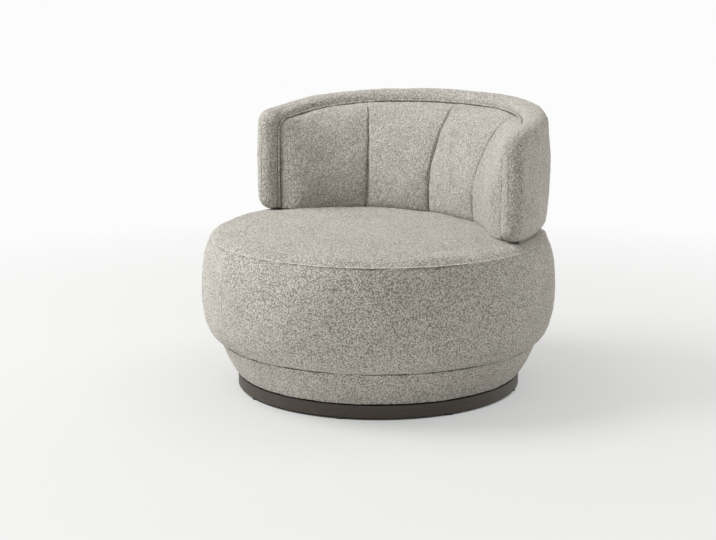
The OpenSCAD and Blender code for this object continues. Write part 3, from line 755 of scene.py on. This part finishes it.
def makeBackLining():
    corner = lining["corner"]
    left, right = lining["in"] + corner, lining["out"] - corner
    low, high = lining["foot"] + corner, lining["top"] - corner
    outline = []
    for middle, start in (((right, low), -90), ((right, high), 0), ((left, high), 90), ((left, low), 180)):
        outline += arc(middle, corner, start, start + 90, lining["cornerSteps"])
    piece = shapedPiece("backLining", spun(outline, lining["steps"], 2 * lining["end"]),
                        boucle("boucleLiningWithPaintedShade", (), lining["rings"]))
    closed(piece.data)
    return piece


welt = {  # along the inner edge of the rim and the arm ends
    "radius": 0.00275,
    "at": 0.3432,
    "drop": 0.029,
    "corner": 0.040,
    "angle": back["endAngle"],
    "foot": 0.396,
    "sides": 10,
    "legSteps": 24,
    "turnSteps": 12,
    "topSteps": 160,
    "slow": 0.0004,
    "fine": 0.0005,
    "seed": 6.0,
}


def weltCorner():  # the angle that it takes up, the angle where the top ends, and the height of its middle
    turnAngle = welt["corner"] / welt["at"]
    topAngle = math.radians(welt["angle"]) - turnAngle
    return turnAngle, topAngle, rimHeight(topAngle) - welt["drop"] - welt["corner"]


def makeRimWelt():
    turnAngle, topAngle, cornerHeight = weltCorner()
    legs, turns, tops = welt["legSteps"], welt["turnSteps"], welt["topSteps"]
    leg = [(math.radians(welt["angle"]), welt["foot"] + (cornerHeight - welt["foot"]) * i / legs)
           for i in range(legs)]
    turn = [(topAngle + turnAngle * math.cos(math.pi * i / (2 * turns)),
             cornerHeight + welt["corner"] * math.sin(math.pi * i / (2 * turns)))
            for i in range(turns)]
    top = [(angle, rimHeight(angle) - welt["drop"])
           for angle in [topAngle * (1 - 2 * i / tops) for i in range(tops + 1)]]
    way = leg + turn + top + [(-angle, height) for angle, height in (leg + turn)[::-1]]
    curve = bpy.data.curves.new("rimWelt", "CURVE")
    curve.dimensions = "3D"
    curve.bevel_depth = welt["radius"]
    curve.bevel_resolution = welt["sides"] // 2 - 2
    curve.use_fill_caps = True
    spline = curve.splines.new("POLY")
    spline.points.add(len(way) - 1)
    for point, (angle, height) in zip(spline.points, way):
        point.co = (welt["at"] * math.sin(angle), welt["at"] * math.cos(angle), height, 1)
    line = linked("rimWeltLine", curve)
    world = bpy.context.evaluated_depsgraph_get()
    mesh = bpy.data.meshes.new_from_object(line.evaluated_get(world))
    bpy.data.objects.remove(line)
    bm = bmesh.new()
    bm.from_mesh(mesh)
    bmesh.ops.remove_doubles(bm, verts=bm.verts[:], dist=1e-6)
    return shapedPiece("rimWelt", bm, finishes["boucle"])


cushion = {
    "outer": 0.3459,
    "foot": 0.3925,
    "height": 0.26,  # of the outline, before it is fitted under the welt
    "unit": 0.1,  # and its depth
    "gap": 0.0003,  # to the welt
    "ends": 84.47,
    "channels": 4,
    "thin": 0.012,
    "spread": 0.130,
    "spreadPower": 0.85,
    "crown": 0.013,
    "crownPowers": (3.2, 0.8),
    "least": 0.004,
    "lean": (-3.5, 0, 3.0),  # how far each seam leans at its foot, in degrees
    "endRound": 0.026,
    "front": [(0, 0.88), (0.012, 0.94), (0.04, 0.975), (0.1, 0.993), (0.2, 1), (0.38, 0.97), (0.55, 0.86),
              (0.7, 0.72), (0.82, 0.57), (0.92, 0.4), (0.98, 0.22), (1, 0.06)],  # height and depth
    "frontSteps": 400,
    "behind": (1, 0.93, 0.7, 0.4, 0.1, 0),
    "under": (0.25, 0.5, 0.7),
    "rows": 50,
    "columns": 52,  # in each channel
    "gather": 0.78,  # how closely the columns stand at the seams
    "seamDepth": 0.006,
    "seamWidth": 0.0030,
    "seamReach": 0.03,
    "seamWave": 0.0022,
    "waveScale": 22,
    "waveWidth": 0.012,
    "skin": 0.006,
    "contrast": 0.8,
    "heldSeam": 0.0016,
    "heldTop": 0.006,
    "heldBehind": 0.004,
    "heldFoot": 0.003,
    "pressure": 8,
    "most": 0.007,
    "slow": 0.0025,
    "seed": 5.0,
}


def channelPlace(angle):  # which channel, and the share of the way across it
    whole = (angle / math.radians(cushion["ends"]) + 1) / 2 * cushion["channels"]
    number = min(max(math.floor(whole), 0), cushion["channels"] - 1)
    return number, whole - number


def lean(whole, rise):
    return sum(math.radians(turn) * max(0, 1 - abs(whole - k - 1))
               for k, turn in enumerate(cushion["lean"])) * (1 - rise)


def cushionTop(angle):
    gap = welt["radius"] + cushion["gap"]
    turnAngle, topAngle, cornerHeight = weltCorner()
    if abs(angle) <= topAngle:
        return rimHeight(angle) - welt["drop"] - gap
    past, turn = (abs(angle) - topAngle) * welt["at"], welt["corner"] - gap
    return cornerHeight + math.sqrt(max(turn * turn - past * past, 0))


def makeBackCushion():
    unit, tall, outer, foot = cushion["unit"], cushion["height"], cushion["outer"], cushion["foot"]
    heights = [h for h, f in cushion["front"]]
    depths = [f for h, f in cushion["front"]]
    slopes = np.gradient(np.array(depths), np.array(heights))

    def depth(h):  # a smooth line through the front's shares
        i = min(max(int(np.searchsorted(heights, h)) - 1, 0), len(heights) - 2)
        w = heights[i + 1] - heights[i]
        t = (h - heights[i]) / w
        return ((2 * t ** 3 - 3 * t * t + 1) * depths[i] + (t ** 3 - 2 * t * t + t) * w * slopes[i]
                + (3 * t * t - 2 * t ** 3) * depths[i + 1] + (t ** 3 - t * t) * w * slopes[i + 1])

    steps = cushion["frontSteps"]
    front = evenly([(outer - unit * depth(i / steps), tall * i / steps) for i in range(steps + 1)],
                   cushion["rows"])
    behind = [(outer, tall * h) for h in cushion["behind"]]
    under = [(outer - unit * f, 0.0) for f in cushion["under"]]
    ends = math.radians(cushion["ends"])
    power, root = cushion["crownPowers"]

    def rule(angle, radius, height):
        number, place = channelPlace(angle)
        place -= cushion["gather"] / (2 * math.pi) * math.sin(2 * math.pi * place)
        angle = ends * (2 * (number + place) / cushion["channels"] - 1)
        left = (ends - abs(angle)) * outer
        ease = 1
        if left < cushion["endRound"]:
            ease = math.sqrt(max(0, 1 - (1 - left / cushion["endRound"]) ** 2))
        rise = height / tall
        bulge = cushion["crown"] * max(1 - abs(2 * place - 1) ** power, 0) ** root
        spread = cushion["spread"] * math.cos(angle) ** cushion["spreadPower"]
        thick = (cushion["thin"] + spread + bulge) * ease
        share = (outer - radius) / unit
        return (angle + lean(number + place, rise), outer - max(thick, cushion["least"]) * share,
                foot + (cushionTop(angle) - foot) * rise)

    bm = spun(front + behind + under, cushion["channels"] * cushion["columns"], 2 * cushion["ends"])
    reshaped(bm, rule)
    return shapedPiece("backCushion", bm, boucle("boucleCushion", (), (), cushion["contrast"]))


def seamDistance(spot):
    angle = math.atan2(spot[0], spot[1])
    rise = (spot[2] - cushion["foot"]) / (cushionTop(angle) - cushion["foot"])
    away = []
    for seam in range(1, cushion["channels"]):
        there = math.radians(cushion["ends"]) * (2 * seam / cushion["channels"] - 1) + lean(seam, rise)
        away.append((angle - there) * math.hypot(*spot[:2]))
    return min(away, key=abs)


def sewn(piece):  # the channel seams pull the cover in
    mesh = piece.data
    spots = points(mesh)
    for i, spot in enumerate(spots):
        away = seamDistance(spot)
        radius = math.hypot(*spot[:2])
        if radius < cushion["outer"] - cushion["skin"] and abs(away) < cushion["seamReach"]:
            pull = cushion["seamDepth"] * math.exp(-(away / cushion["seamWidth"]) ** 2)
            wave = cushion["seamWave"] * noise.noise(Vector((0, 0, spot[2] * cushion["waveScale"])))
            spots[i][:2] *= (radius + pull) / radius
            sideways = wave * math.exp(-(away / cushion["waveWidth"]) ** 2) / radius
            x, y = spots[i][:2]
            spots[i][:2] = (x + y * sideways, y - x * sideways)
    movePoints(mesh, spots)


drumSide = makeDrumSide()
lowerBand = makeLowerBand()
seatPad = makeSeatPad()
backShell = makeBackShell()
backLining = makeBackLining()
rimWelt = makeRimWelt()
backCushion = makeBackCushion()
print("soft pieces shaped")


# a cover is held along its seams and where it lies on something

def heldDrum():
    radius, height = ringPoints(drumSide)
    low, high = drum["freeHeights"]
    return ((height > high) | (height < low) | (radius < drumWall + drum["heldInside"])).astype(float)


def heldSeat():
    radius, height = ringPoints(seatPad)
    return ((radius > seat["freeRadius"]) | (height < seat["freeHeight"])).astype(float)


def heldShell():
    radius, height = ringPoints(backShell)
    return ((radius < back["inner"] + back["heldInside"])
            | (height < back["foot"] + back["heldFoot"])).astype(float)


def heldCushion():
    spots = points(backCushion.data)
    radius, height = ringPoints(backCushion)
    sewnDown = np.array([abs(seamDistance(p)) < cushion["heldSeam"] for p in spots])
    tops = np.array([cushionTop(math.atan2(p[0], p[1])) - p[2] < cushion["heldTop"] for p in spots])
    return (sewnDown | tops | (radius > cushion["outer"] - cushion["heldBehind"])
            | (height < cushion["foot"] + cushion["heldFoot"])).astype(float)


def mostSeat():  # least at the seam, so that the shoulder stays round
    return np.array([seat["most"] * eased((seat["stillRadius"] - math.hypot(p[0], p[1])) / seat["easeWidth"])
                     for p in points(seatPad.data)])


def mostShell():  # the arm ends keep their round form
    endAngle = math.radians(back["endAngle"])
    return np.array([back["most"] * eased((endAngle - abs(math.atan2(p[0], p[1]))) / back["easeAngle"])
                     for p in points(backShell.data)])


swollen([
    (drumSide, heldDrum(), drum["pressure"], drum["most"]),
    (seatPad, heldSeat(), seat["pressure"], mostSeat()),
    (backShell, heldShell(), back["pressure"], mostShell()),
    (backCushion, heldCushion(), cushion["pressure"], cushion["most"]),
])
sewn(backCushion)
for piece, sizes in ((drumSide, drum), (lowerBand, band), (seatPad, seat), (backShell, back),
                     (backCushion, cushion)):
    refined(piece)
    handmade(piece, sizes["slow"], uneven["fine"], sizes["seed"])
handmade(rimWelt, welt["slow"], welt["fine"], welt["seed"])

dressed(drumSide, 0.8, "drum_side_cover", "drum_side_foam")
dressed(lowerBand, 0.9, "lower_band_cover", "lower_band_foam")
dressed(seatPad, 0.8, "seat_cover", "seat_foam")
dressed(backShell, 0.8, "back_cover", "back_foam")
dressed(backLining, None)
dressed(rimWelt, None, "rim_welt")
dressed(backCushion, 0.7, "back_cushion_cover", "back_cushion_core_1", "back_cushion_core_2",
        "back_cushion_core_3", "back_cushion_core_4")


floorLook = {
    "tone": (238, 238, 236),
    "near": (223, 223, 222),  # what the camera sees of the floor beside the chair, darkened as painted shade of the chair
    "under": (204, 205, 205),  # darker still close to the plinth: painted shadow
    "far": (252, 252, 252),
    "share": 0.71,  # how much of that tone is seen near the chair, and not the lit floor
    "paintedShadeRadius": 0.35,
    "paintedShadeWidth": 0.4,
    "paintedShadePower": 0.6,
    "farRadius": 0.55,
    "farWidth": 1.7,
    "shadowRadius": 0.341,  # under the plinth the shadow is whole
    "shadowWidth": 0.005,
    "size": 40,
}


def makeFloor():
    bm = bmesh.new()
    bmesh.ops.create_grid(bm, x_segments=1, y_segments=1, size=floorLook["size"])
    floor = linked("floor", meshOf(bm, "floor"))
    material = bpy.data.materials.new("paleFloor")
    material.use_nodes = True
    shader = Shader(material.node_tree)
    x, y = shader.axes()[:2]
    away = (x * x + y * y) ** 0.5
    cameraRay, glossyRay = shader.several("ShaderNodeLightPath", {}, "Is Camera Ray", "Is Glossy Ray")
    far = ((away - floorLook["farRadius"]) / floorLook["farWidth"]).clear()
    near = ((away - floorLook["paintedShadeRadius"]) / floorLook["paintedShadeWidth"]).clear() ** floorLook["paintedShadePower"]
    beside = ((away - floorLook["shadowRadius"]) / floorLook["shadowWidth"]).clear()
    share = (far * (1 - floorLook["share"]) + floorLook["share"]) * beside
    plain = shader.node("ShaderNodeBsdfDiffuse", {}, {"Color": tone(*floorLook["tone"])})
    # the floor's glow darkens towards the chair and most at the plinth: painted shadow
    light = shader.blend(near, tone(*floorLook["under"]), tone(*floorLook["near"]))
    light = shader.blend(far, light, tone(*floorLook["far"]))
    bright = shader.node("ShaderNodeEmission", {}, {"Color": light, "Strength": 1.0})
    seen = (cameraRay + glossyRay).clear()
    mixed = shader.node("ShaderNodeMixShader", {}, {0: share * seen, 1: plain, 2: bright})
    shader.node("ShaderNodeOutputMaterial", {}, {"Surface": mixed})
    floor.data.materials.append(material)


sky = {
    "light": (255, 254, 250),
    "strength": 0.52,
    "seen": (251, 251, 250),
}


def makeWorld():
    world = bpy.data.worlds.new("studio")
    world.use_nodes = True
    scene.world = world
    shader = Shader(world.node_tree)
    rays = shader.several("ShaderNodeLightPath", {}, "Is Camera Ray", "Is Glossy Ray", "Is Transmission Ray")
    seen = (rays[0] + rays[1] + rays[2]).clear()
    soft = shader.node("ShaderNodeBackground", {}, {"Color": tone(*sky["light"]), "Strength": sky["strength"]})
    white = shader.node("ShaderNodeBackground", {}, {"Color": tone(*sky["seen"]), "Strength": 1.0})
    mixed = shader.node("ShaderNodeMixShader", {}, {0: seen, 1: soft, 2: white})
    shader.node("ShaderNodeOutputWorld", {}, {"Surface": mixed})


lamps = {  # turn and rise in degrees, the turn from the chair's front to its right
    "keyLight": {"power": 194, "size": 2.4, "away": 4.0, "turn": -52, "rise": 46},
    "fillLight": {"power": 52, "size": 2.4, "away": 4.0, "turn": 150, "rise": 14},
}
aimHeight = 0.4


def makeLamp(name):
    sizes = lamps[name]
    lamp = bpy.data.lights.new(name, "AREA")
    lamp.shape = "DISK"
    lamp.size = sizes["size"]
    lamp.energy = sizes["power"]
    lit = linked(name, lamp)
    turn, rise = math.radians(sizes["turn"]), math.radians(sizes["rise"])
    toLamp = Vector((math.sin(turn) * math.cos(rise), -math.cos(turn) * math.cos(rise), math.sin(rise)))
    lit.location = toLamp * sizes["away"] + Vector((0, 0, aimHeight))
    lit.rotation_euler = toLamp.to_track_quat("Z", "Y").to_euler()


view = {
    "turn": 37.8,  # from the chair's front to its right, in degrees
    "away": 4.320,
    "height": 1.199,
    "tilt": 78,
    "lens": 90.50,
    "sensor": 36,
    "shift": -0.0285,
}


def makeCamera():
    camera = linked("camera", bpy.data.cameras.new("camera"))
    turn = math.radians(view["turn"])
    camera.location = (view["away"] * math.sin(turn), -view["away"] * math.cos(turn), view["height"])
    camera.rotation_euler = (math.radians(view["tilt"]), 0, turn)
    camera.data.sensor_width = view["sensor"]
    camera.data.lens = view["lens"]
    camera.data.shift_x = view["shift"]
    scene.camera = camera


makeFloor()
makeWorld()
makeLamp("keyLight")
makeLamp("fillLight")
makeCamera()
scene.view_settings.view_transform = "Standard"
print("studio ready")
